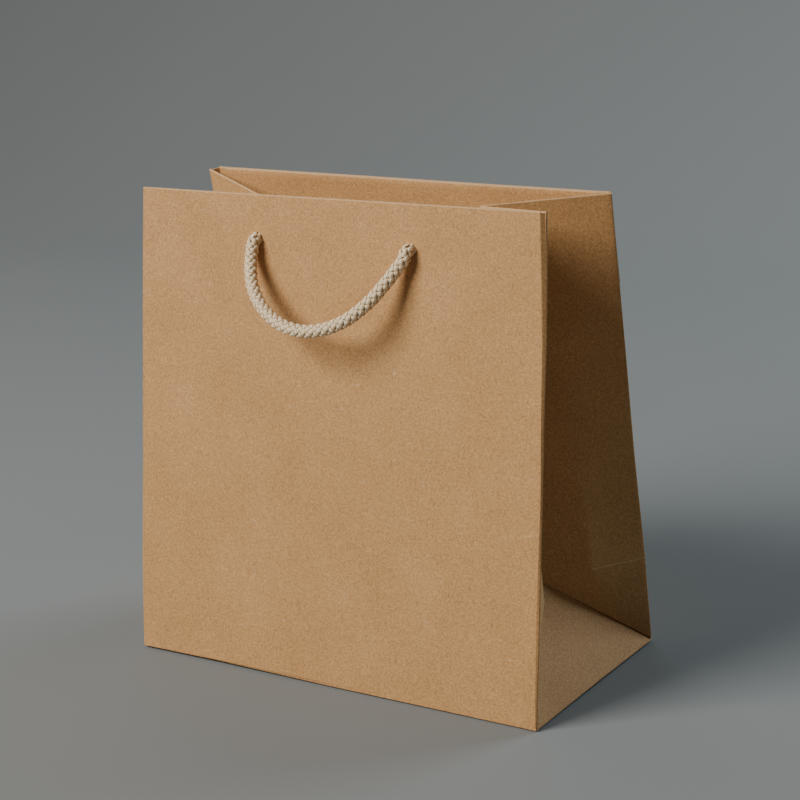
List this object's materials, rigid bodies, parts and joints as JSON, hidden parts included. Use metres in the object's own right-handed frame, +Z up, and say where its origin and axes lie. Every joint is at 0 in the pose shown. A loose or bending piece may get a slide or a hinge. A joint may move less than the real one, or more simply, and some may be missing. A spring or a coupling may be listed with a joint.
{
  "type": "gift bag",
  "caption": "Kraft paper gift bag with folded side gussets and a short cotton rope handle on the front and back walls.",
  "frame": {"origin": "middle of the footprint, on the surface that the bag stands on", "axes": "+X across the front wall to its right edge, +Y from the front wall to the back wall, +Z up"},
  "size_m": [0.2, 0.1062, 0.2026],
  "materials": {
    "kraft_paper": "matt brown kraft paper",
    "greyboard": "matt grey board",
    "cotton_cord": "natural braided cotton"
  },
  "bodies": {
    "base": {"bottom_front_flap": "kraft_paper", "bottom_back_flap": "kraft_paper", "bottom_left_flap": "kraft_paper", "bottom_right_flap": "kraft_paper", "bottom_card": "greyboard", "left_base_triangle": "kraft_paper", "left_gusset_front": "kraft_paper", "left_gusset_back": "kraft_paper", "left_gusset_front_hem": "kraft_paper", "left_gusset_back_hem": "kraft_paper", "right_base_triangle": "kraft_paper", "right_gusset_front": "kraft_paper", "right_gusset_back": "kraft_paper", "right_gusset_front_hem": "kraft_paper", "right_gusset_back_hem": "kraft_paper"},
    "front_wall": {"front_panel": "kraft_paper", "front_top_card": "greyboard", "front_top_hem": "kraft_paper", "front_knot_left": "cotton_cord", "front_knot_right": "cotton_cord"},
    "back_wall": {"back_panel": "kraft_paper", "back_top_card": "greyboard", "back_top_hem": "kraft_paper", "back_knot_left": "cotton_cord", "back_knot_right": "cotton_cord", "side_seam_tab": "kraft_paper"},
    "front_handle": {"front_handle": "cotton_cord"},
    "back_handle": {"back_handle": "cotton_cord"}
  },
  "joints": [
    {"name": "front_wall_fold", "type": "hinge", "parent": "base", "child": "front_wall", "pos_m": [0, -0.052, 0], "axis": [1, 0, 0], "range_deg": [-3.5, 3], "stiffness_Nm_per_rad": 0.15, "deforming": ["left_gusset_front", "left_gusset_front_hem", "right_gusset_front", "right_gusset_front_hem"]},
    {"name": "back_wall_fold", "type": "hinge", "parent": "base", "child": "back_wall", "pos_m": [0, 0.052, 0], "axis": [-1, 0, 0], "range_deg": [-3.5, 3], "stiffness_Nm_per_rad": 0.15, "deforming": ["left_gusset_back", "left_gusset_back_hem", "right_gusset_back", "right_gusset_back_hem"]},
    {"name": "front_handle_swing", "type": "hinge", "parent": "front_wall", "child": "front_handle", "pos_m": [0, -0.03229, 0.18496], "axis": [-1, 0, 0], "range_deg": [0, 150], "deforming": ["front_handle"]},
    {"name": "back_handle_swing", "type": "hinge", "parent": "back_wall", "child": "back_handle", "pos_m": [0, 0.02745, 0.18438], "axis": [1, 0, 0], "range_deg": [0, 150], "deforming": ["back_handle"]}
  ],
  "couplings": [
    {"joint": "back_wall_fold", "follows": "front_wall_fold", "ratio": 1}
  ]
}
